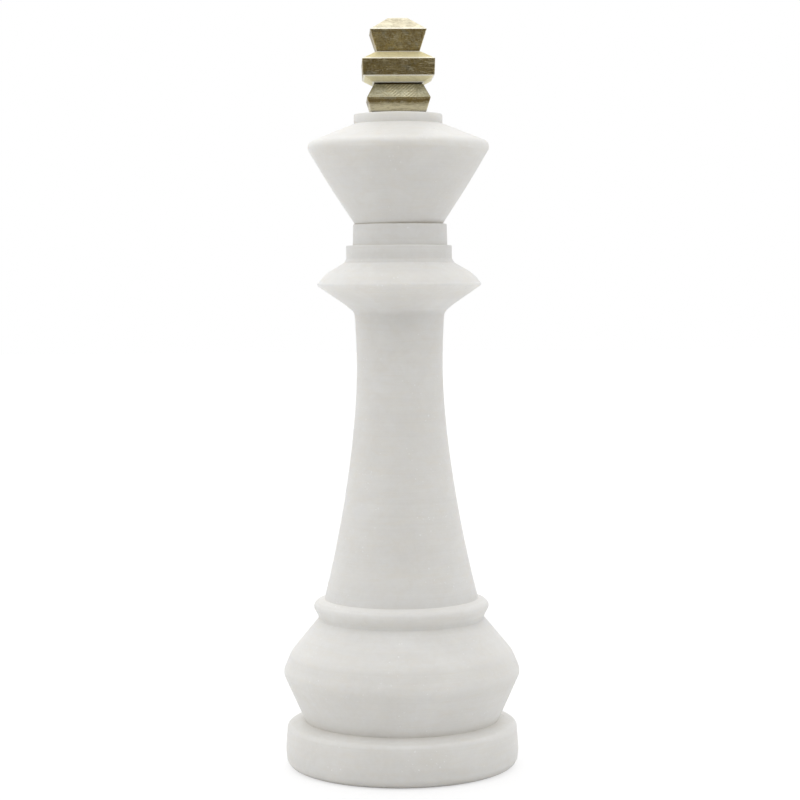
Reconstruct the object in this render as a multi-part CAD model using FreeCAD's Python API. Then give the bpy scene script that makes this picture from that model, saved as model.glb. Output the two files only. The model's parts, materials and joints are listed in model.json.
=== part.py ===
import FreeCAD
import Part
import math
import os

# A tall king chess piece turned in white stone, 5 in wide and 16 in high. Turned stone sections
# stand on each other, centred by short sleeves and bedded in adhesive, and one threaded rod
# clamps them from a recess under the base to a recess in the head. The rod's free end takes the
# metal finial: square blocks pressed on a tapped sleeve, which screws on over a plain washer.
# Origin: centre of the resting face, +Z up. All sizes are in millimetres.

V = FreeCAD.Vector

# ---- driving dimensions ---------------------------------------------------------------------
HEIGHT = 406.4               # resting face to the flat on top of the finial

# Levels of the flat joints between the stones
JOINT_BASE = 25.7            # base disc to lower body
JOINT_COLUMN = 92.0          # lower body to column
JOINT_NECK = 284.4           # column to neck ring
JOINT_HEAD = 295.9           # neck ring to head
HEAD_TOP = 355.0             # flat top of the head, where the finial sits

# Turned outline, radii
BASE_R = 63.8                # fullest part of the base disc
JOINT_R = 53.3               # where the base disc and the lower body meet
NOSE_R = 65.1                # sharp waistline of the lower body
BEAD_R = 48.4                # bead round the column's foot
COLUMN_FOOT_R = 42.0
COLUMN_LEDGE = 0.3           # how far the bead's top stands out past the column's foot
WAIST_R = 23.4
FLANGE_R = 45.0
RING_R = 28.7                # plain step on top of the flange
NECK_R, NECK_TOP_R = 25.7, 25.4
NECK_SHIFT = 0.6             # the neck ring was bedded this far off the axis, towards +X
HEAD_FOOT_R = 23.8
SHOULDER_R = 50.9            # fullest part of the head, before rounding
CROWN_R = 24.0               # low disc on top of the head

# Felt pad, let into the underside
PAD_R, PAD_T, PAD_PROUD = 54.0, 1.6, 0.3
PAD_GAP = 0.4

# Threaded rod and its hardware
ROD_R = 4.0
ROD_HOLE_R = 5.0
ROD_BOTTOM = 2.4
ROD_TOP = 366.5
ROD_CHAMFER, ROD_TIP_R = 1.0, 3.3
NUT_FLATS, NUT_T = 13.0, 6.5
NUT_TURNED_OFF, NUT_SLOPE = 0.1, 30    # depth past the flats and angle of the turned-off corners
THREAD_GAP = 0.03            # radial play between the rod and what runs on it
WASHER_HOLE_R = 4.2
BASE_RECESS_R = 16.5
BASE_WASHER_R, BASE_WASHER_T = 15.0, 1.5
RUBBER_T = 1.5
SPRING_R, SPRING_T = 7.4, 2.0
SPRING_SLIT, SLIT_SLANT = 1.2, 20
NUT_BOTTOM = 3.2             # underside of the lower nut
TOP_RECESS_R, TOP_RECESS_D = 10.3, 9.5
TOP_WASHER_R, TOP_WASHER_T = 9.0, 1.6

# Centring sleeve and adhesive ring, the same at every stone joint
SLEEVE_R, SLEEVE_BORE_R, SLEEVE_L = 8.0, 4.5, 8.0
SLEEVE_PLAY, SLEEVE_END_PLAY = 0.1, 0.2
BOND_IN_R, BOND_OUT_R, BOND_T = 10.0, 20.0, 0.4

# Finial
FINIAL_WASHER_R, FINIAL_WASHER_HOLE_R, FINIAL_WASHER_T = 13.5, 4.5, 0.7
CORE_R, CORE_BOTTOM, CORE_TOP = 6.5, 356.5, 396.5
CORE_END_PLAY = 0.6          # room above the sleeve in the cap's blind hole
FOOT_SIDES = (29.6, 34.0, 26.4)
FOOT_BELLY = 363.0           # level of the foot's widest square
FOOT_TOP = 370.2
SLAB_SIDES = (26.0, 38.1, 38.8, 23.3)
SLAB_BOTTOM, SLAB_LOW_EDGE, SLAB_HIGH_EDGE = 371.1, 374.6, 383.4
CAP_SIDES = (22.9, 30.3, 9.7)
CAP_BOTTOM, CAP_EDGE = 387.8, 399.3
SPIGOT_R = 10.5              # round neck that leaves the dark line under the slab
EDGE_R = 0.4                 # softened arris of the metal blocks

# Cutting tools run this far past the faces they cut
PAST = 1.0

# Working out
WASHER_SEAT = NUT_BOTTOM + NUT_T + SPRING_T + BASE_WASHER_T + RUBBER_T
FOOT_BOTTOM = HEAD_TOP + FINIAL_WASHER_T
STONE_JOINTS = (JOINT_BASE, JOINT_COLUMN, JOINT_NECK, JOINT_HEAD)


# ---- outline tools --------------------------------------------------------------------------
TOUCHING = 1e-6              # points closer than this are one point


def point(r, z):
    return V(r, 0, z)


def rounded_chain(corners):
    """Edges along straight lines through corners (r, z, rounding), with a tangent arc at each."""
    edges = []
    start = point(*corners[0][:2])
    for before, here, after in zip(corners, corners[1:], corners[2:]):
        corner = point(*here[:2])
        back = (point(*before[:2]) - corner).normalize()
        ahead = (point(*after[:2]) - corner).normalize()
        if here[2] == 0:
            edges.append(Part.makeLine(start, corner))
            start = corner
            continue
        half = back.getAngle(ahead) / 2
        reach = here[2] / math.tan(half)
        centre = corner + (back + ahead).normalize() * (here[2] / math.sin(half))
        middle = centre + (corner - centre).normalize() * here[2]
        arc_start, arc_end = corner + back * reach, corner + ahead * reach
        if (arc_start - start).Length > TOUCHING:
            edges.append(Part.makeLine(start, arc_start))
        edges.append(Part.Arc(arc_start, middle, arc_end).toShape())
        start = arc_end
    edges.append(Part.makeLine(start, point(*corners[-1][:2])))
    return edges


def bezier(*poles):
    curve = Part.BezierCurve()
    curve.setPoles([point(r, z) for r, z in poles])
    return curve.toShape()


def turned(edges):
    """Solid of revolution about Z from the edges of a closed outline in the XZ half plane."""
    return Part.Face(Part.Wire(edges)).revolve(V(0, 0, 0), V(0, 0, 1), 360)


def cylinder(r, z0, z1):
    return Part.makeCylinder(r, z1 - z0, V(0, 0, z0))


def ring(r_in, r_out, z0, z1):
    return cylinder(r_out, z0, z1).cut(cylinder(r_in, z0, z1))


def bored(stone, low, high):
    """Cuts what every stone has: the rod's hole, sleeve seats and, on top, the bond recess."""
    stone = stone.cut(cylinder(ROD_HOLE_R, low - PAST, high + PAST))
    seat_r, seat_d = SLEEVE_R + SLEEVE_PLAY, SLEEVE_L / 2 + SLEEVE_END_PLAY
    if low in STONE_JOINTS:
        stone = stone.cut(cylinder(seat_r, low - PAST, low + seat_d))
    if high in STONE_JOINTS:
        stone = stone.cut(cylinder(seat_r, high - seat_d, high + PAST))
        stone = stone.cut(ring(BOND_IN_R, BOND_OUT_R, high - BOND_T, high + PAST))
    return stone


# ---- turned stones --------------------------------------------------------------------------
def base_disc():
    bottom = PAD_PROUD
    outline = rounded_chain([
        (0, bottom, 0),
        (63.0, bottom, 5.0),             # rounded lower edge
        (BASE_R, 9.5, 12.0),             # fullest part
        (62.8, 23.2, 3.0),               # rounded upper edge
        (JOINT_R, JOINT_BASE, 0),        # end of the sloping top
        (0, JOINT_BASE, 0),
    ])
    stone = turned(outline + [Part.makeLine(point(0, JOINT_BASE), point(0, bottom))])
    stone = bored(stone, bottom, JOINT_BASE)
    stone = stone.cut(cylinder(PAD_R + PAD_GAP, 0, PAD_T))
    return stone.cut(cylinder(BASE_RECESS_R, 0, WASHER_SEAT))


def lower_body():
    outline = rounded_chain([
        (0, JOINT_BASE, 0),
        (JOINT_R, JOINT_BASE, 0),
        (NOSE_R, 52.0, 6.0),             # waistline
        (60.6, 62.6, 14.0),              # turn into the upper slope
        (45.4, 81.0, 0.6),               # groove under the bead
        (45.6, 83.0, 2.0),
        (BEAD_R, 88.2, 2.6),
        (46.1, 90.7, 2.0),
        (COLUMN_FOOT_R + COLUMN_LEDGE, JOINT_COLUMN, 0),
        (0, JOINT_COLUMN, 0),
    ])
    stone = turned(outline + [Part.makeLine(point(0, JOINT_COLUMN), point(0, JOINT_BASE))])
    return bored(stone, JOINT_BASE, JOINT_COLUMN)


def column():
    waist, flare = (WAIST_R, 218.0), (24.1, 243.0)      # narrowest part, start of the flange's curve
    taper = bezier((COLUMN_FOOT_R, JOINT_COLUMN), (28.2, 146.4), (WAIST_R, 194.3), waist)
    neck = bezier(waist, (WAIST_R, 229.0), (23.8, 236.5), flare)
    flange = rounded_chain([
        (*flare, 0),
        (24.5, 248.2, 4.5),
        (29.6, 252.5, 3.0),
        (FLANGE_R, 263.1, 1.1),          # sharp rim
        (40.6, 268.9, 24.0),             # hollow of the top slope
        (29.9, 275.1, 0.3),
        (RING_R, 277.3, 2.0),
        (RING_R, JOINT_NECK, 0.5),       # plain step
        (0, JOINT_NECK, 0),
    ])
    foot = [
        Part.makeLine(point(0, JOINT_NECK), point(0, JOINT_COLUMN)),
        Part.makeLine(point(0, JOINT_COLUMN), point(COLUMN_FOOT_R, JOINT_COLUMN)),
    ]
    return bored(turned([taper, neck] + flange + foot), JOINT_COLUMN, JOINT_NECK)


def neck_ring():
    """Low drum between column and head. Its outside is off-centre, its bore is on the axis."""
    outline = rounded_chain([
        (0, JOINT_NECK, 0),
        (NECK_R, JOINT_NECK, 0),
        (NECK_TOP_R, JOINT_HEAD, 0.4),
        (0, JOINT_HEAD, 0),
    ])
    stone = turned(outline + [Part.makeLine(point(0, JOINT_HEAD), point(0, JOINT_NECK))])
    stone.translate(V(NECK_SHIFT, 0, 0))
    return bored(stone, JOINT_NECK, JOINT_HEAD)


def head():
    outline = rounded_chain([
        (0, JOINT_HEAD, 0),
        (HEAD_FOOT_R, JOINT_HEAD, 0),
        (37.9, 317.4, 480.0),            # faint hollow of the cone
        (SHOULDER_R, 339.3, 4.0),
        (CROWN_R, 349.9, 0.4),           # end of the sloping top
        (CROWN_R, HEAD_TOP, 0.5),
        (0, HEAD_TOP, 0),
    ])
    stone = turned(outline + [Part.makeLine(point(0, HEAD_TOP), point(0, JOINT_HEAD))])
    stone = bored(stone, JOINT_HEAD, HEAD_TOP)
    return stone.cut(cylinder(TOP_RECESS_R, HEAD_TOP - TOP_RECESS_D, HEAD_TOP + PAST))


# ---- what goes in every stone joint ---------------------------------------------------------
def locating_sleeves():
    half = SLEEVE_L / 2
    return Part.makeCompound(
        [ring(SLEEVE_BORE_R, SLEEVE_R, z - half, z + half) for z in STONE_JOINTS]
    )


def bond_rings():
    return Part.makeCompound(
        [ring(BOND_IN_R, BOND_OUT_R, z - BOND_T, z) for z in STONE_JOINTS]
    )


# ---- tie rod and hardware -------------------------------------------------------------------
def tie_rod():
    rod = cylinder(ROD_R, ROD_BOTTOM + ROD_CHAMFER, ROD_TOP - ROD_CHAMFER)
    low = Part.makeCone(ROD_TIP_R, ROD_R, ROD_CHAMFER, V(0, 0, ROD_BOTTOM))
    high = Part.makeCone(ROD_R, ROD_TIP_R, ROD_CHAMFER, V(0, 0, ROD_TOP - ROD_CHAMFER))
    return rod.fuse([low, high]).removeSplitter()


def hex_nut(z0):
    """Hexagon nut with its corners turned off on both faces."""
    corner_r = NUT_FLATS / math.sqrt(3)
    corners = [
        V(corner_r * math.cos(k * math.pi / 3), corner_r * math.sin(k * math.pi / 3), z0)
        for k in range(6)
    ]
    prism = Part.Face(Part.makePolygon(corners + corners[:1])).extrude(V(0, 0, NUT_T))
    turned_off = corner_r - NUT_FLATS / 2 + NUT_TURNED_OFF
    rise = turned_off * math.tan(math.radians(NUT_SLOPE))
    face_r = corner_r - turned_off
    barrel = turned(rounded_chain([
        (0, z0, 0),
        (face_r, z0, 0),
        (corner_r, z0 + rise, 0),
        (corner_r, z0 + NUT_T - rise, 0),
        (face_r, z0 + NUT_T, 0),
        (0, z0 + NUT_T, 0),
        (0, z0, 0),
    ]))
    return prism.common(barrel).cut(cylinder(ROD_R + THREAD_GAP, z0 - PAST, z0 + NUT_T + PAST))


def spring_washer():
    """Split ring, closed flat by the nut. The slit slants as it does on a right-hand lock ring."""
    z0 = NUT_BOTTOM + NUT_T
    slit = Part.makeBox(SPRING_R + PAST, SPRING_SLIT, SPRING_T * 3)
    slit.translate(V(0, -SPRING_SLIT / 2, -SPRING_T * 1.5))
    slit.rotate(V(0, 0, 0), V(1, 0, 0), SLIT_SLANT)
    slit.translate(V(0, 0, z0 + SPRING_T / 2))
    return ring(WASHER_HOLE_R, SPRING_R, z0, z0 + SPRING_T).cut(slit)


def base_washer():
    z0 = NUT_BOTTOM + NUT_T + SPRING_T
    return ring(WASHER_HOLE_R, BASE_WASHER_R, z0, z0 + BASE_WASHER_T)


def rubber_washer():
    return ring(ROD_HOLE_R, BASE_WASHER_R, WASHER_SEAT - RUBBER_T, WASHER_SEAT)


def top_washer():
    z0 = HEAD_TOP - TOP_RECESS_D
    return ring(WASHER_HOLE_R, TOP_WASHER_R, z0, z0 + TOP_WASHER_T)


def base_pad():
    return cylinder(PAD_R, 0, PAD_T)


# ---- finial ---------------------------------------------------------------------------------
def square(side, z):
    h = side / 2
    corners = [V(-h, -h, z), V(h, -h, z), V(h, h, z), V(-h, h, z)]
    return Part.makePolygon(corners + corners[:1])


def block(levels):
    """Block with flat sloping faces through squares (side, z), all its edges softened."""
    solid = Part.makeLoft([square(side, z) for side, z in levels], True, True)
    return solid.makeFillet(EDGE_R, solid.Edges)


def core_bored(solid, top):
    return solid.cut(cylinder(CORE_R, FOOT_BOTTOM - PAST, top))


def finial_washer():
    return ring(FINIAL_WASHER_HOLE_R, FINIAL_WASHER_R, HEAD_TOP, FOOT_BOTTOM)


def finial_foot():
    low, belly, top = FOOT_SIDES
    body = block([(low, FOOT_BOTTOM), (belly, FOOT_BELLY), (top, FOOT_TOP)])
    body = body.fuse(cylinder(SPIGOT_R, FOOT_TOP - PAST, SLAB_BOTTOM))
    return core_bored(body, SLAB_BOTTOM + PAST)


def finial_slab():
    low, low_edge, high_edge, top = SLAB_SIDES
    body = block([
        (low, SLAB_BOTTOM),
        (low_edge, SLAB_LOW_EDGE),
        (high_edge, SLAB_HIGH_EDGE),
        (top, CAP_BOTTOM),
    ])
    return core_bored(body, CAP_BOTTOM + PAST)


def finial_cap():
    low, belly, top = CAP_SIDES
    body = block([(low, CAP_BOTTOM), (belly, CAP_EDGE), (top, HEIGHT)])
    return core_bored(body, CORE_TOP + CORE_END_PLAY)


def finial_core():
    """Tapped sleeve inside the blocks. Its bore is the thread's outer radius plus play."""
    return ring(ROD_R + THREAD_GAP, CORE_R, CORE_BOTTOM, CORE_TOP)


# ---- write every piece ----------------------------------------------------------------------
PIECES = {
    "base_pad": base_pad(),
    "base_disc": base_disc(),
    "lower_body": lower_body(),
    "column": column(),
    "neck_ring": neck_ring(),
    "head": head(),
    "locating_sleeves": locating_sleeves(),
    "bond_rings": bond_rings(),
    "tie_rod": tie_rod(),
    "base_nut": hex_nut(NUT_BOTTOM),
    "spring_washer": spring_washer(),
    "base_washer": base_washer(),
    "rubber_washer": rubber_washer(),
    "top_washer": top_washer(),
    "top_nut": hex_nut(HEAD_TOP - TOP_RECESS_D + TOP_WASHER_T),
    "finial_washer": finial_washer(),
    "finial_core": finial_core(),
    "finial_foot": finial_foot(),
    "finial_slab": finial_slab(),
    "finial_cap": finial_cap(),
}

os.makedirs("parts", exist_ok=True)
for name, shape in PIECES.items():
    assert shape.isValid(), name
    shape.exportStep(os.path.join("parts", name + ".step"))
    box = shape.BoundBox
    print(f"{name:18s} solids {len(shape.Solids)}  z {box.ZMin:7.2f} to {box.ZMax:7.2f}"
          f"  width {box.XLength:6.2f}  volume {shape.Volume / 1000:8.2f} cm3")
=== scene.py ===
import bmesh
import bpy
import json
import math
from mathutils import Matrix, Vector, noise


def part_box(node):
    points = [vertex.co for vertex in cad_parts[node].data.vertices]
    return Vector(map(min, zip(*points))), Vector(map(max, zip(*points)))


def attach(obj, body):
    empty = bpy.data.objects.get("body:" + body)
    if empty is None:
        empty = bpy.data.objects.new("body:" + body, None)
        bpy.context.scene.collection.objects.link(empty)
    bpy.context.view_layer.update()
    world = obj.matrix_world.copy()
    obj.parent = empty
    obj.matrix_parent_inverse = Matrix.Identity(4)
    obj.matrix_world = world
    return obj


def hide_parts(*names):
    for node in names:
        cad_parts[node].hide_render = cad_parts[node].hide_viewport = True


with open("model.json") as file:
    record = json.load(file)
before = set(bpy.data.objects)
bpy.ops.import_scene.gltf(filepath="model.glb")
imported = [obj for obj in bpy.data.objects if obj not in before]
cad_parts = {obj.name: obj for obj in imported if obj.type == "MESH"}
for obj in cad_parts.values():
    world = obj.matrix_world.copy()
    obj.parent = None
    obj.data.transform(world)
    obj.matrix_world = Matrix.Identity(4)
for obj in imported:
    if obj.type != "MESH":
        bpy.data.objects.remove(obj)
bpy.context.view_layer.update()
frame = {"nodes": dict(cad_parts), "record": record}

# The looks of a turned marble chess king with a brass finial. Stones, metal blocks and hardware
# keep their CAD shapes and get their materials here. The threaded rod and the felt pad are built
# here, because the CAD model holds them as plain round solids. Everything is in metres.

MM = 0.001
CREASE_SAMPLES = 8               # rays that feel for nearby surfaces
MIX_FACTOR, MIX_A, MIX_B, MIX_RESULT = 0, 6, 7, 2    # a Mix node's sockets for colours


# ---- node tools -----------------------------------------------------------------------------
class Net:
    """Short ways to add and join nodes in one node tree."""

    def __init__(self, tree):
        self.tree = tree

    def add(self, kind, inputs=(), **settings):
        node = self.tree.nodes.new(kind)
        for name, value in settings.items():
            setattr(node, name, value)
        for name, value in dict(inputs).items():
            self.put(node.inputs[name], value)
        return node

    def put(self, socket, value):
        if isinstance(value, bpy.types.NodeSocket):
            self.tree.links.new(value, socket)
        else:
            socket.default_value = value

    def math(self, operation, *values):
        node = self.tree.nodes.new("ShaderNodeMath")
        node.operation = operation
        for i, value in enumerate(values):
            self.put(node.inputs[i], value)
        return node.outputs[0]

    def turned(self, vector, degrees):
        """The vector turned about X, Y and Z."""
        angles = tuple(math.radians(angle) for angle in degrees)
        return self.add("ShaderNodeMapping", {"Vector": vector, "Rotation": angles}).outputs[0]

    def moved(self, vector, shift):
        return self.add("ShaderNodeMapping", {"Vector": vector, "Location": shift}).outputs[0]

    def scaled(self, vector, scale):
        return self.add("ShaderNodeMapping", {"Vector": vector, "Scale": scale}).outputs[0]

    def split(self, vector):
        """The vector's X, Y and Z."""
        return self.add("ShaderNodeSeparateXYZ", {"Vector": vector}).outputs

    def noise(self, vector, scale, detail=3.0, rough=0.55, distort=0.0):
        node = self.add("ShaderNodeTexNoise", {
            "Vector": vector, "Scale": scale, "Detail": detail,
            "Roughness": rough, "Distortion": distort,
        })
        return node.outputs[0]

    def cells(self, vector, scale):
        """One random number for each cell, and the distance from its centre."""
        node = self.add("ShaderNodeTexVoronoi", {"Vector": vector, "Scale": scale})
        split = self.add("ShaderNodeSeparateColor", {"Color": node.outputs["Color"]})
        return split.outputs[0], node.outputs["Distance"]

    def span(self, value, low, high, to_low=0.0, to_high=1.0):
        """Runs from to_low to to_high as the value runs from low to high, and no further."""
        node = self.add("ShaderNodeMapRange", {
            "Value": value, "From Min": low, "From Max": high, "To Min": to_low, "To Max": to_high,
        }, clamp=True)
        return node.outputs[0]

    def near(self, value, centre, width):
        """1 where the value is at the centre, falling to 0 at the width from it."""
        away = self.math("ABSOLUTE", self.math("SUBTRACT", value, centre))
        return self.span(away, 0.0, width, 1.0, 0.0)

    def open_air(self, reach):
        """1 in the open, less where other surfaces stand within the reach."""
        node = self.add("ShaderNodeAmbientOcclusion", {"Distance": reach}, samples=CREASE_SAMPLES)
        return node.outputs["AO"]

    def mix(self, factor, a, b):
        """Colour a where the factor is 0, colour b where it is 1."""
        node = self.tree.nodes.new("ShaderNodeMix")
        node.data_type = "RGBA"
        self.put(node.inputs[MIX_FACTOR], factor)
        self.put(node.inputs[MIX_A], a)
        self.put(node.inputs[MIX_B], b)
        return node.outputs[MIX_RESULT]

    def bump(self, height, distance, strength=1.0, under=None):
        node = self.add("ShaderNodeBump", {
            "Height": height, "Distance": distance, "Strength": strength,
        })
        if under is not None:
            self.put(node.inputs["Normal"], under)
        return node.outputs[0]


class Look:
    """A new material with its net of nodes, its shader and the object coordinates."""

    def __init__(self, name):
        self.material = bpy.data.materials.new(name)
        self.material.use_nodes = True
        self.net = Net(self.material.node_tree)
        self.shader = self.material.node_tree.nodes["Principled BSDF"]
        self.where = self.net.add("ShaderNodeTexCoord").outputs["Object"]

    def set(self, **inputs):
        """Sets shader inputs by name, with _ for a space."""
        for name, value in inputs.items():
            self.net.put(self.shader.inputs[name.replace("_", " ")], value)


def rgba(r, g, b):
    return (r, g, b, 1.0)


def grey(level):
    return rgba(level, level, level)


def height_of(look):
    return look.net.split(look.where)[2]


# ---- marble ---------------------------------------------------------------------------------
STONE_DIM = (0.790, 0.779, 0.750)
STONE_LIGHT = (0.862, 0.855, 0.830)
STONE_BLOTCH = (0.795, 0.777, 0.738)
STONE_GRAIN = (0.885, 0.882, 0.870)
STONE_SANDED = (0.745, 0.735, 0.705)
STONE_BAND = (0.740, 0.728, 0.700)
STONE_WARM = (0.815, 0.780, 0.715)
STONE_CRYSTAL_GLINT = (0.98, 0.98, 0.97)
STONE_CREASE_SHADE = (0.700, 0.655, 0.585)
STONE_SEAM = (0.430, 0.340, 0.240)
STONES_ABOVE_JOINTS = ("lower_body", "column", "neck_ring", "head")   # the last one has the seam
CREASE_REACH = 9.0 * MM
SEAM_HALF = 0.45 * MM
GLOW_FADE = 7.0 * MM             # nearer than this to a joint, less light passes through the stone
GLOW_DEPTH = 8.0 * MM            # how far light spreads inside the stone


def marble():
    """Honed sugar-grained white marble: faint clouds and warm streaks, sanding lines round the turning
    axis, single bright crystals lightened partly as a painted glint, painted shade in the creases,
    and a dirt line in the seam under the head."""
    look = Look("honed_marble")
    net, where = look.net, look.where
    clouds = net.noise(where, 22.0, 4.0, 0.55, 0.8)
    blotch = net.noise(where, 95.0, 3.0, 0.6, 0.9)
    mottle = net.noise(where, 420.0, 2.0, 0.6)
    sanding = net.noise(net.scaled(where, (9.0, 9.0, 1500.0)), 1.0, 2.0, 0.6)
    band = net.noise(net.scaled(where, (4.0, 4.0, 260.0)), 1.0, 2.0, 0.6)
    streak = net.noise(net.scaled(where, (70.0, 70.0, 420.0)), 1.0, 3.0, 0.6, 0.6)
    colour = net.mix(net.span(clouds, 0.32, 0.68), rgba(*STONE_DIM), rgba(*STONE_LIGHT))
    colour = net.mix(net.span(blotch, 0.40, 0.68, 0.0, 0.50), colour, rgba(*STONE_BLOTCH))
    colour = net.mix(net.span(mottle, 0.30, 0.70, 0.0, 0.30), colour, rgba(*STONE_GRAIN))
    colour = net.mix(net.span(sanding, 0.30, 0.70, 0.0, 0.14), colour, rgba(*STONE_SANDED))
    colour = net.mix(net.span(band, 0.45, 0.75, 0.0, 0.16), colour, rgba(*STONE_BAND))
    colour = net.mix(net.span(streak, 0.50, 0.68, 0.0, 0.30), colour, rgba(*STONE_WARM))

    # Single crystals: smoother, and coloured near white, partly their own paler tone and partly a
    # painted glint.
    crystal, from_centre = net.cells(where, 1500.0)
    patch = net.span(net.noise(where, 60.0, 1.0), 0.50, 0.62)
    sparkle = net.math("MULTIPLY", net.span(crystal, 0.989, 0.992), patch)
    colour = net.mix(net.math("MULTIPLY", sparkle, 0.85), colour, rgba(*STONE_CRYSTAL_GLINT))

    height = height_of(look)
    joints = [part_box(stone)[0][2] for stone in STONES_ABOVE_JOINTS]
    # Painted shade: the stone is coloured darker and warmer where other surfaces stand near, in its
    # creases.
    crease_shade = net.span(net.open_air(CREASE_REACH), 0.35, 0.75, 0.36, 0.0)
    colour = net.mix(crease_shade, colour, rgba(*STONE_CREASE_SHADE))
    seam = net.near(height, joints[-1], SEAM_HALF)
    seam = net.math("MULTIPLY", seam, net.span(blotch, 0.35, 0.65, 0.08, 0.42))
    colour = net.mix(seam, colour, rgba(*STONE_SEAM))

    rough = net.span(blotch, 0.3, 0.7, 0.46, 0.58)
    rough = net.math("SUBTRACT", rough, net.math("MULTIPLY", sparkle, 0.3))
    wave = net.bump(sanding, 0.02 * MM, 0.8)
    wave = net.bump(from_centre, 0.015 * MM, 0.6, wave)
    wave = net.bump(mottle, 0.05 * MM, 0.5, wave)
    look.set(Base_Color=colour, Roughness=rough, Normal=wave, IOR=1.5)
    contact = 0.0
    for z in joints:
        contact = net.math("MAXIMUM", contact, net.near(height, z, GLOW_FADE))
    look.set(Subsurface_Weight=net.span(contact, 0.0, 1.0, 0.85, 0.0))
    look.set(Subsurface_Radius=(1.0, 0.95, 0.85), Subsurface_Scale=GLOW_DEPTH)
    return look.material


# ---- brass ----------------------------------------------------------------------------------
UPRIGHT_BRASS_PAINTED_SHADE = (0.450, 0.348, 0.135)
SLOPE_BRASS_PAINTED_LIGHT = (0.985, 0.905, 0.575)
ROOF_BRASS_PAINTED_LIGHT = (0.965, 0.900, 0.700)
BROWN_BRASS = (0.200, 0.143, 0.052)
GREY_BRASS = (0.400, 0.385, 0.290)
FILED_BRASS = (0.235, 0.228, 0.162)
PALE_BRASS = (0.800, 0.740, 0.520)
WORN_BRASS_AND_HIGHLIGHT = (0.990, 0.970, 0.860)
PATINA_AND_SHADE = (0.110, 0.078, 0.035)
BLOCKS = {                       # painted lit colour of the slopes, how much tarnish and painted shade stays on them, filed or not
    "finial_core": (SLOPE_BRASS_PAINTED_LIGHT, 0.18, False),
    "finial_foot": (SLOPE_BRASS_PAINTED_LIGHT, 0.18, True),
    "finial_slab": (SLOPE_BRASS_PAINTED_LIGHT, 0.18, False),
    "finial_cap": (ROOF_BRASS_PAINTED_LIGHT, 0.45, False),
}
WIDEST_SHARE = 0.975             # corners this far out belong to a block's widest band
CREVICE_REACH = 2.2 * MM
RIM_HALF, RIM_FADE = 0.35 * MM, 0.65 * MM
FILED_TILT, TILT_SPREAD = 0.47, 0.2  # how far the filed slopes face up

# The filed block alone: distances below its widest square, and one above it
PAINTED_LIGHT_START, PAINTED_LIGHT_FULL = 0.8 * MM, 3.2 * MM
BROWN_FULL, BROWN_END = 0.7 * MM, 1.8 * MM
BROWN_ABOVE = 0.4 * MM
RAGGED = 0.5 * MM                # how unevenly those levels run
HATCH_LEAN, HATCH_SCALE = 42.0, 225.0
HATCH_SHIFTS = (0.0, 0.31)       # moves the patches of one direction off those of the other


def arris_levels(node):
    """Heights of a block's horizontal arrises: its rims and the edges of its widest band."""
    corners = [vertex.co for vertex in frame["nodes"][node].data.vertices]
    widest = max(co.x for co in corners)
    band = [co.z for co in corners if co.x > WIDEST_SHARE * widest]
    low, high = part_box(node)
    return low[2], min(band), max(band), high[2]


def tarnish(net, where, colour, cloud, speck, brushed, dull):
    """Brown clouds, grey and pale blotches, specks and brushed lines, weaker where less dull. The dull
    mask also paints shade, as it is highest on upright faces.
    """
    smudge = net.noise(where, 75.0, 3.0, 0.55, 2.0)
    breath = net.noise(where, 62.0, 3.0, 0.6, 1.4)
    for pattern, tint in (
        (net.span(cloud, 0.44, 0.60, 0.0, 0.78), BROWN_BRASS),
        (net.span(smudge, 0.54, 0.62, 0.0, 0.60), GREY_BRASS),
        (net.span(breath, 0.52, 0.66, 0.0, 0.30), PALE_BRASS),
        (net.span(speck, 0.42, 0.66, 0.0, 0.40), PALE_BRASS),
        (net.span(brushed, 0.38, 0.66, 0.0, 0.50), BROWN_BRASS),
    ):
        colour = net.mix(net.math("MULTIPLY", pattern, dull), colour, rgba(*tint))
    return colour


def foot_line_and_painted_light(look, node, colour):
    """A ragged brown line under the block's widest square and streaked metal below it, coloured paler
    towards the bottom as painted reflection of the pale floor. Also gives the mask of that paler part."""
    net, where = look.net, look.where
    belly = arris_levels(node)[1]
    ragged = net.span(net.noise(where, 420.0, 3.0, 0.7), 0.3, 0.7, -RAGGED, RAGGED)
    level = net.math("ADD", height_of(look), ragged)
    # Painted reflection: the lower part of the foot is coloured paler, standing in for the pale floor
    # it mirrors.
    painted_floor_light = net.span(level, belly - PAINTED_LIGHT_FULL, belly - PAINTED_LIGHT_START, 0.95, 0.0)
    colour = net.mix(painted_floor_light, colour, rgba(*PALE_BRASS))
    below = net.span(level, belly - BROWN_END, belly - BROWN_FULL)
    above = net.span(level, belly, belly + BROWN_ABOVE, 0.80, 0.0)
    colour = net.mix(net.math("MULTIPLY", below, above), colour, rgba(*BROWN_BRASS))
    grained = net.noise(net.scaled(where, (230.0, 230.0, 1900.0)), 1.0, 3.0, 0.7, 0.5)
    colour = net.mix(net.span(grained, 0.48, 0.66, 0.0, 0.45), colour, rgba(*BROWN_BRASS))
    return colour, painted_floor_light


def file_marks(look, colour, height, facing):
    """Patches of file strokes in two crossing directions on the upper slopes."""
    net, where = look.net, look.where
    for lean, shift in zip((HATCH_LEAN, -HATCH_LEAN), HATCH_SHIFTS):
        spot = net.moved(where, (shift, 0.0, shift))
        patch = net.span(net.noise(spot, 85.0, 2.0, 0.6), 0.50, 0.61)
        patch = net.math("MULTIPLY", patch, net.near(facing, FILED_TILT, TILT_SPREAD))
        cut = net.add("ShaderNodeTexWave", {
            "Vector": net.turned(where, (HATCH_LEAN, lean, 0)), "Scale": HATCH_SCALE,
            "Distortion": 1.6, "Detail": 2.0, "Detail Scale": 2.0,
        }, bands_direction="Z").outputs["Fac"]
        cut = net.math("MULTIPLY", net.span(cut, 0.50, 0.85), patch)
        colour = net.mix(net.math("MULTIPLY", cut, 0.36), colour, rgba(*PALE_BRASS))
        height = net.math("ADD", height, net.math("MULTIPLY", cut, 0.7))
    return colour, height


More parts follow.
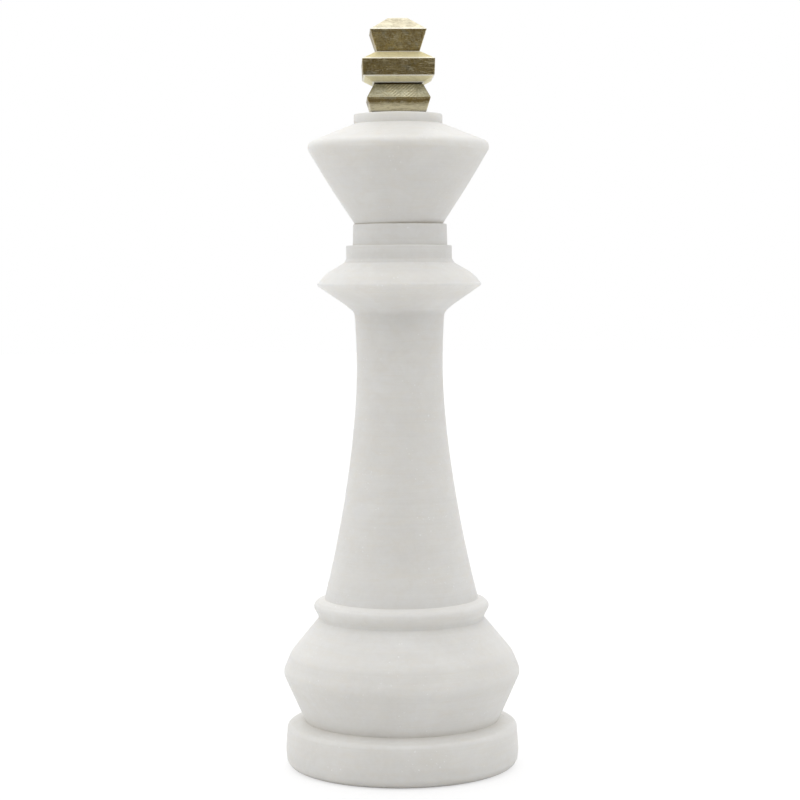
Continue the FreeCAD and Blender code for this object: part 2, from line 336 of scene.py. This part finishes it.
def worn_and_highlit_arrises(look, levels, colour, facing, speck):
    """Bright rims on the sloping side of each arris, partly worn metal and partly painted highlight,
    and thin brown ones on the upright side.
    """
    net, height = look.net, height_of(look)
    edge = 0.0
    for z in levels:
        away = net.math("ABSOLUTE", net.math("SUBTRACT", height, z))
        edge = net.math("MAXIMUM", edge, net.span(away, RIM_HALF, RIM_FADE, 1.0, 0.0))
    tilted = net.math("ABSOLUTE", facing)
    edge = net.math("MULTIPLY", edge, net.span(tilted, 0.96, 0.99, 1.0, 0.0))
    # Painted highlight with real wear: the sloping side of each arris is coloured near white.
    worn_and_highlight = net.math("MULTIPLY", edge, net.span(tilted, 0.34, 0.50))
    worn_and_highlight = net.math("MULTIPLY", worn_and_highlight, net.span(speck, 0.3, 0.6, 0.55, 1.0))
    browned = net.math("MULTIPLY", edge, net.span(tilted, 0.30, 0.36, 0.55, 0.0))
    colour = net.mix(browned, colour, rgba(*BROWN_BRASS))
    return net.mix(worn_and_highlight, colour, rgba(*WORN_BRASS_AND_HIGHLIGHT))


def brass(node):
    """Hand-finished brass for one block: coloured darker brown on the upright faces and paler on the
    slopes as painted reflection, with tarnish strongest on the upright faces; painted shade and
    patina in the crevices; bright arrises, partly worn metal and partly painted highlight. The filed
    block also has crossed file marks on its upper slopes and a lower part painted paler, a painted
    reflection of the pale floor."""
    slope_lit_colour, slope_tarnish_and_shade, filed = BLOCKS[node]
    look = Look("brass_" + node)
    net, where = look.net, look.where
    facing = net.split(net.add("ShaderNodeNewGeometry").outputs["True Normal"])[2]
    cloud = net.noise(where, 150.0, 4.0, 0.65, 1.2)
    speck = net.noise(where, 1000.0, 3.0, 0.7)
    brushed = net.noise(net.scaled(where, (70.0, 70.0, 2100.0)), 1.0, 3.0, 0.7)
    leaning = net.turned(where, (5.0, -7.0, 0))
    dashes = net.noise(net.scaled(leaning, (190.0, 190.0, 1250.0)), 1.0, 2.0, 0.6, 0.7)

    # Painted reflection: upright faces get a dark brown colour and sloping faces a pale one, standing
    # in for the dark card and the bright tent they mirror. The tarnish patterns are real, but dull
    # makes them stronger on upright faces, which adds painted shade.
    slope = net.span(net.math("ABSOLUTE", facing), 0.42, 0.80)
    dull = net.span(slope, 0.0, 1.0, 1.0, slope_tarnish_and_shade)
    colour = net.mix(slope, rgba(*UPRIGHT_BRASS_PAINTED_SHADE), rgba(*slope_lit_colour))
    colour = tarnish(net, where, colour, cloud, speck, brushed, dull)
    light_marks = net.math("MULTIPLY", net.span(dashes, 0.58, 0.68, 0.0, 0.50), dull)
    colour = net.mix(light_marks, colour, rgba(*PALE_BRASS))
    height = net.math("ADD", brushed, net.math("MULTIPLY", light_marks, -1.2))
    less_metal = net.span(facing, -0.80, -0.50, 0.45, 0.0)
    levels = arris_levels(node)
    if filed:
        filed_face = net.span(facing, 0.30, 0.45)
        colour = net.mix(net.math("MULTIPLY", filed_face, 0.85), colour, rgba(*FILED_BRASS))
        grit = net.math("MULTIPLY", net.span(speck, 0.44, 0.58, 0.0, 0.50), filed_face)
        colour = net.mix(grit, colour, rgba(*GREY_BRASS))
        colour, painted_floor_light = foot_line_and_painted_light(look, node, colour)
        colour, height = file_marks(look, colour, height, facing)
        less_metal = net.math("MAXIMUM", less_metal, net.math("MULTIPLY", painted_floor_light, 0.5))
        levels = levels[0], levels[-1]

    # Painted shade with patina: the brass is coloured dark where other surfaces stand near, in its
    # crevices.
    crevice_shade_and_patina = net.span(net.open_air(CREVICE_REACH), 0.45, 0.85, 0.9, 0.0)
    colour = net.mix(crevice_shade_and_patina, colour, rgba(*PATINA_AND_SHADE))
    colour = worn_and_highlit_arrises(look, levels, colour, facing, speck)
    rough = net.span(slope, 0.0, 1.0, 0.34, 0.56)
    rough = net.math("ADD", rough, net.span(cloud, 0.3, 0.7, -0.06, 0.08))
    wave = net.bump(height, 0.05 * MM, 0.9)
    wave = net.bump(cloud, 0.40 * MM, 0.6, wave)
    look.set(Base_Color=colour, Roughness=rough, Normal=wave)
    look.set(Metallic=net.math("SUBTRACT", net.span(slope, 0.0, 1.0, 1.0, 0.65), less_metal))
    return look.material


# ---- hardware, seals and felt ---------------------------------------------------------------
ZINC_BLUE, ZINC_STRAW = (0.560, 0.590, 0.640), (0.680, 0.655, 0.580)
ZINC_SCUFF, ZINC_ROOT = (0.780, 0.785, 0.790), (0.230, 0.225, 0.215)
THREAD_ROOT = (3.3 * MM, 3.7 * MM)   # distances from the axis between which the grey fades
TUBE_DARK, TUBE_LIGHT = (0.620, 0.625, 0.635), (0.780, 0.780, 0.785)
TUBE_DULL = (0.540, 0.540, 0.545)
RESIN_DARK, RESIN_LIGHT = (0.640, 0.600, 0.500), (0.780, 0.760, 0.700)
RUBBER_BLACK, RUBBER_DUST = (0.018, 0.018, 0.019), (0.075, 0.073, 0.070)
FIBRE_DARK, FIBRE_LIGHT = (0.175, 0.055, 0.034), (0.330, 0.120, 0.072)
FIBRE_LAYER = (0.110, 0.036, 0.024)
FELT_DARK, FELT_LIGHT = (0.012, 0.046, 0.026), (0.024, 0.078, 0.044)
FELT_HAIR, FELT_LINT = (0.052, 0.125, 0.078), (0.300, 0.320, 0.290)


def zinc_plate():
    """Bright zinc with a faint blue and straw bloom, scuffed, grey in the thread's root."""
    look = Look("zinc_plate")
    net, where = look.net, look.where
    bloom = net.noise(where, 120.0, 3.0, 0.6, 1.5)
    colour = net.mix(net.span(bloom, 0.35, 0.65), rgba(*ZINC_BLUE), rgba(*ZINC_STRAW))
    slanted = net.turned(where, (25.0, 25.0, 0))
    scuff = net.noise(net.scaled(slanted, (200.0, 200.0, 2600.0)), 1.0, 2.0, 0.6)
    colour = net.mix(net.span(scuff, 0.50, 0.75, 0.0, 0.4), colour, rgba(*ZINC_SCUFF))
    level = net.scaled(where, (1.0, 1.0, 0.0))
    from_axis = net.add("ShaderNodeVectorMath", {"Vector": level}, operation="LENGTH").outputs["Value"]
    root = net.span(from_axis, *THREAD_ROOT, 0.6, 0.0)
    colour = net.mix(root, colour, rgba(*ZINC_ROOT))
    wave = net.bump(scuff, 0.02 * MM, 0.7)
    look.set(Base_Color=colour, Metallic=1.0, Normal=wave)
    look.set(Roughness=net.span(bloom, 0.3, 0.7, 0.24, 0.42))
    return look.material


def drawn_aluminium():
    """Drawn tube: fine lines along its length and dull patches."""
    look = Look("drawn_aluminium")
    net, where = look.net, look.where
    lines = net.noise(net.scaled(where, (1600.0, 1600.0, 25.0)), 1.0, 3.0, 0.65)
    dull = net.noise(where, 260.0, 3.0, 0.6)
    colour = net.mix(net.span(lines, 0.3, 0.7), rgba(*TUBE_DARK), rgba(*TUBE_LIGHT))
    colour = net.mix(net.span(dull, 0.45, 0.75, 0.0, 0.4), colour, rgba(*TUBE_DULL))
    look.set(Base_Color=colour, Metallic=1.0, Normal=net.bump(lines, 0.02 * MM, 0.8))
    look.set(Roughness=net.span(dull, 0.3, 0.7, 0.30, 0.46))
    return look.material


def cured_adhesive():
    """Smeared cream resin with small bubbles."""
    look = Look("cured_adhesive")
    net, where = look.net, look.where
    smear = net.noise(where, 180.0, 3.0, 0.6, 2.0)
    bubble = net.span(net.cells(where, 900.0)[1], 0.15, 0.30)
    colour = net.mix(net.span(smear, 0.3, 0.7), rgba(*RESIN_DARK), rgba(*RESIN_LIGHT))
    wave = net.bump(smear, 0.10 * MM, 0.6, net.bump(bubble, 0.05 * MM, 0.5))
    look.set(Base_Color=colour, Normal=wave, Roughness=net.span(smear, 0.3, 0.7, 0.35, 0.55))
    return look.material


def black_rubber():
    """Black rubber with a fine grain and a bloom of dust."""
    look = Look("black_rubber")
    net, where = look.net, look.where
    dust = net.noise(where, 320.0, 4.0, 0.65, 0.5)
    grain = net.noise(where, 2400.0, 2.0, 0.6)
    colour = net.mix(net.span(dust, 0.40, 0.75), rgba(*RUBBER_BLACK), rgba(*RUBBER_DUST))
    look.set(Base_Color=colour, Normal=net.bump(grain, 0.03 * MM, 0.8))
    look.set(Roughness=net.span(dust, 0.3, 0.7, 0.55, 0.80))
    return look.material


def red_fibre():
    """Vulcanised fibre: layers of red-brown paper pressed flat."""
    look = Look("red_fibre")
    net, where = look.net, look.where
    layers = net.noise(net.scaled(where, (40.0, 40.0, 5000.0)), 1.0, 2.0, 0.6)
    pulp = net.noise(where, 900.0, 4.0, 0.7, 1.5)
    colour = net.mix(net.span(pulp, 0.3, 0.7), rgba(*FIBRE_DARK), rgba(*FIBRE_LIGHT))
    colour = net.mix(net.span(layers, 0.4, 0.7, 0.0, 0.4), colour, rgba(*FIBRE_LAYER))
    wave = net.bump(pulp, 0.03 * MM, 0.7, net.bump(layers, 0.03 * MM, 0.6))
    look.set(Base_Color=colour, Normal=wave, Roughness=net.span(pulp, 0.3, 0.7, 0.45, 0.62))
    return look.material


def green_felt():
    """Pressed wool: matted fibres in mixed greens, with lint and a soft sheen."""
    look = Look("green_felt")
    net, where = look.net, look.where
    mat = net.noise(where, 160.0, 3.0, 0.6, 0.8)
    layers = []
    for turn, drawn_out in ((24.0, (240.0, 2600.0, 900.0)), (105.0, (260.0, 2400.0, 900.0))):
        layer = net.scaled(net.turned(where, (0, 0, turn)), drawn_out)
        layers.append(net.noise(layer, 1.0, 3.0, 0.7, 1.2))
    fibres = net.math("MAXIMUM", *layers)
    colour = net.mix(net.span(mat, 0.3, 0.7), rgba(*FELT_DARK), rgba(*FELT_LIGHT))
    colour = net.mix(net.span(fibres, 0.50, 0.75, 0.0, 0.7), colour, rgba(*FELT_HAIR))
    lint = net.span(net.noise(net.scaled(where, (700.0, 4200.0, 900.0)), 1.0, 2.0, 0.6), 0.70, 0.76)
    colour = net.mix(net.math("MULTIPLY", lint, 0.6), colour, rgba(*FELT_LINT))
    look.set(Base_Color=colour, Roughness=net.span(mat, 0.3, 0.7, 0.86, 0.98))
    look.set(Normal=net.bump(fibres, 0.25 * MM, 1.0))
    look.set(Sheen_Weight=0.35, Sheen_Roughness=0.6, Specular_IOR_Level=0.2)
    return look.material


LOOKS = {
    "white_marble": marble(),
    "zinc_steel": zinc_plate(),
    "sleeve_metal": drawn_aluminium(),
    "stone_adhesive": cured_adhesive(),
    "rubber": black_rubber(),
    "fibre": red_fibre(),
    "felt": green_felt(),
}
for part in frame["record"]["subparts"]:
    node, slot = part["node"], part["material_slot"]
    mesh = frame["nodes"][node].data
    mesh.materials.clear()
    mesh.materials.append(brass(node) if node in BLOCKS else LOOKS[slot])


# ---- pieces built here ----------------------------------------------------------------------
def piece(name, work, slot, body, node):
    """Makes an object from bmesh work, riding on the body, in place of a CAD node."""
    bmesh.ops.recalc_face_normals(work, faces=work.faces)
    mesh = bpy.data.meshes.new(name)
    work.to_mesh(mesh)
    work.free()
    made = bpy.data.objects.new(name, mesh)
    bpy.context.scene.collection.objects.link(made)
    mesh.materials.append(LOOKS[slot])
    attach(made, body)
    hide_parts(node)
    return made


PITCH = 1.25 * MM
THREAD_DEPTH = 0.7 * MM
THREAD_SIDES = 28                # points round one turn
THREAD_FORM = (                  # height in pitches and depth share: crest, flank, root, flank
    (0.00, 0.0), (0.14, 0.0), (0.46, 0.92), (0.57, 1.0), (0.68, 0.92),
)
ROD_CHAMFER, CHAMFER_SLOPE = 1.0 * MM, 0.7
MERGE = 0.0005 * MM              # points closer than this are one point


def rod_thread():
    """Threaded rod: one helical strip of the thread's form, cut off at both ends by a chamfer."""
    low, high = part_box("tie_rod")
    bottom, top, crest = low[2], high[2], high[0]
    turns = math.ceil((top - bottom) / PITCH) + 2
    count = len(THREAD_FORM)
    work = bmesh.new()
    grid = []
    for turn in range(turns):
        for rise, depth in THREAD_FORM:
            row = []
            for side in range(THREAD_SIDES):
                share = side / THREAD_SIDES
                z = bottom + (turn - 1 + rise + share) * PITCH
                z = min(max(z, bottom), top)
                from_end = min(z - bottom, top - z)
                tip = crest - CHAMFER_SLOPE * max(ROD_CHAMFER - from_end, 0.0)
                r = min(crest - depth * THREAD_DEPTH, tip)
                angle = 2 * math.pi * share
                row.append(work.verts.new((r * math.cos(angle), r * math.sin(angle), z)))
            grid.append(row)
    for level in range(len(grid) - 1):
        for side in range(THREAD_SIDES):
            # past the last side the strip goes on one turn higher
            last = side == THREAD_SIDES - 1
            over = level + count if last else level
            if over + 1 >= len(grid):
                continue
            ahead = 0 if last else side + 1
            work.faces.new((
                grid[level][side], grid[over][ahead], grid[over + 1][ahead], grid[level + 1][side],
            ))
    bmesh.ops.remove_doubles(work, verts=work.verts, dist=MERGE)
    bmesh.ops.dissolve_degenerate(work, edges=work.edges, dist=MERGE)
    flat_ends = [e for e in work.edges if e.is_boundary]
    bmesh.ops.holes_fill(work, edges=flat_ends, sides=0)
    return piece("threaded_rod", work, "zinc_steel", "stack", "tie_rod")


PAD_SIDES, PAD_RINGS, PAD_EDGE_STEPS = 144, 40, 12
PAD_EDGE = 0.5 * MM              # how far the cut edge is rounded
PAD_FUZZ = 0.12 * MM
PATCH_SCALE, TUFT_SCALE = 330.0, 1900.0


def felt_pad():
    """Felt disc with a soft cut edge and an uneven, slightly hairy surface."""
    low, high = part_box("base_pad")
    bottom, top, radius = low[2], high[2], high[0]
    middle, half = (bottom + top) / 2, (top - bottom) / 2
    outline = [(radius - PAD_EDGE) * ring / PAD_RINGS for ring in range(1, PAD_RINGS + 1)]
    profile = [(r, bottom) for r in outline]
    profile += [
        (radius - PAD_EDGE * (1 - math.sin(a)), middle - half * math.cos(a))
        for a in (math.pi * step / PAD_EDGE_STEPS for step in range(1, PAD_EDGE_STEPS))
    ]
    profile += [(r, top) for r in reversed(outline)]
    work = bmesh.new()
    rows = []
    for r, z in profile:
        row = []
        for side in range(PAD_SIDES):
            angle = 2 * math.pi * side / PAD_SIDES
            place = Vector((r * math.cos(angle), r * math.sin(angle), z))
            patchy = 0.5 + 0.5 * noise.noise(place * PATCH_SCALE)
            dip = PAD_FUZZ * patchy * noise.noise(place * TUFT_SCALE) ** 2
            place.z += dip if z < middle else -dip
            row.append(work.verts.new(place))
        rows.append(row)
    for lower, upper in zip(rows, rows[1:]):
        for side in range(PAD_SIDES):
            ahead = (side + 1) % PAD_SIDES
            work.faces.new((lower[side], lower[ahead], upper[ahead], upper[side]))
    for row, z in ((rows[0], bottom), (rows[-1], top)):
        centre = work.verts.new((0, 0, z))
        for side in range(PAD_SIDES):
            work.faces.new((centre, row[side], row[(side + 1) % PAD_SIDES]))
    for face in work.faces:
        face.smooth = True
    return piece("felt_pad", work, "felt", "stack", "base_pad")


rod_thread()
felt_pad()


# ---- floor, light and camera ----------------------------------------------------------------
def sheet(name, corners, look):
    """A flat four-sided piece of the studio."""
    mesh = bpy.data.meshes.new(name)
    mesh.from_pydata(corners, [], [tuple(range(len(corners)))])
    made = bpy.data.objects.new(name, mesh)
    bpy.context.scene.collection.objects.link(made)
    mesh.materials.append(look.material)
    return made


TURN = math.radians(-1.7)        # the camera stands this far round from the finial's front face
FORWARD = Matrix.Rotation(TURN, 4, "Z")
FLOOR_HALF = 6.0
FLOOR_SEEN, FLOOR_BOUNCE = 0.35, 0.84    # how pale it is to the camera, and to bounced light
FLOOR_GLOW = 0.68

# The camera sees the floor as a lit sweep, partly glowing, so that shadows on it stay faint.
floor_look = Look("pale_floor")
seen = floor_look.net.add("ShaderNodeLightPath").outputs["Is Camera Ray"]
floor_look.set(
    Base_Color=floor_look.net.mix(seen, grey(FLOOR_BOUNCE), grey(FLOOR_SEEN)),
    Roughness=0.9, Specular_IOR_Level=0.1,
    Emission_Color=grey(1), Emission_Strength=floor_look.net.math("MULTIPLY", seen, FLOOR_GLOW),
)
sheet("floor", [
    (-FLOOR_HALF, -FLOOR_HALF, 0), (FLOOR_HALF, -FLOOR_HALF, 0),
    (FLOOR_HALF, FLOOR_HALF, 0), (-FLOOR_HALF, FLOOR_HALF, 0),
], floor_look)

# A dark card before the piece, hidden from the camera, is what the brass faces mirror.
FLAG_Y, FLAG_HALF = -0.55, 0.24
FLAG_BOTTOM, FLAG_TOP = 0.05, 0.49
FLAG_COLOUR = (0.075, 0.062, 0.042)
flag_look = Look("dark_card")
flag_look.set(Base_Color=rgba(*FLAG_COLOUR), Roughness=1.0, Specular_IOR_Level=0.0)
flag_corners = [
    (-FLAG_HALF, FLAG_Y, FLAG_BOTTOM), (FLAG_HALF, FLAG_Y, FLAG_BOTTOM),
    (FLAG_HALF, FLAG_Y, FLAG_TOP), (-FLAG_HALF, FLAG_Y, FLAG_TOP),
]
flag = sheet("flag", [FORWARD @ Vector(corner) for corner in flag_corners], flag_look)
flag.visible_camera = False

# A white tent, brightest overhead.
HORIZON_GLOW, TOP_GLOW, TOP_Z = 0.46, 1.18, 0.9
LEFT_SHARE, RIGHT_SHARE = 1.03, 0.90
FRONT_SHARE, BACK_SHARE = 1.0, 1.5
world = bpy.data.worlds.new("tent")
bpy.context.scene.world = world
world.use_nodes = True
net = Net(world.node_tree)
x, y, z = net.split(net.add("ShaderNodeTexCoord").outputs["Generated"])
glow = net.span(z, 0.0, TOP_Z, HORIZON_GLOW, TOP_GLOW)
glow = net.math("MULTIPLY", glow, net.span(x, -1.0, 1.0, LEFT_SHARE, RIGHT_SHARE))
glow = net.math("MULTIPLY", glow, net.span(y, 0.0, 1.0, FRONT_SHARE, BACK_SHARE))
seen = net.add("ShaderNodeLightPath").outputs["Is Camera Ray"]
background = world.node_tree.nodes["Background"]
net.put(background.inputs["Strength"], net.math("MAXIMUM", glow, seen))
background.inputs["Color"].default_value = grey(1)

# A softbox high in front evens out the top faces.
SOFTBOX_W, SOFTBOX_WIDE, SOFTBOX_DEEP = 3.0, 1.2, 0.8
SOFTBOX_AT, SOFTBOX_AIM = Vector((-0.1, -0.8, 1.65)), Vector((0, 0, 0.25))
softbox_data = bpy.data.lights.new("softbox", "AREA")
softbox_data.shape = "RECTANGLE"
softbox_data.size, softbox_data.size_y = SOFTBOX_WIDE, SOFTBOX_DEEP
softbox_data.energy = SOFTBOX_W
softbox = bpy.data.objects.new("softbox", softbox_data)
bpy.context.scene.collection.objects.link(softbox)
softbox.location = SOFTBOX_AT
softbox.rotation_euler = (SOFTBOX_AIM - SOFTBOX_AT).to_track_quat("-Z", "Y").to_euler()

CAMERA_AT = (0, -1.141, 0.2693)
TILT, ROLL = math.radians(3.46), math.radians(-0.39)
SENSOR, LENS = 36.0, 94.32       # in millimetres
CLIP_NEAR, CLIP_FAR = 0.01, 50.0
camera_data = bpy.data.cameras.new("camera")
camera = bpy.data.objects.new("camera", camera_data)
bpy.context.scene.collection.objects.link(camera)
bpy.context.scene.camera = camera
camera_data.sensor_width = SENSOR
camera_data.lens = LENS
camera_data.clip_start, camera_data.clip_end = CLIP_NEAR, CLIP_FAR
camera.matrix_world = (
    FORWARD
    @ Matrix.Translation(CAMERA_AT)
    @ Matrix.Rotation(math.pi / 2 - TILT, 4, "X")
    @ Matrix.Rotation(ROLL, 4, "Z")
)

bpy.context.scene.view_settings.view_transform = "Standard"
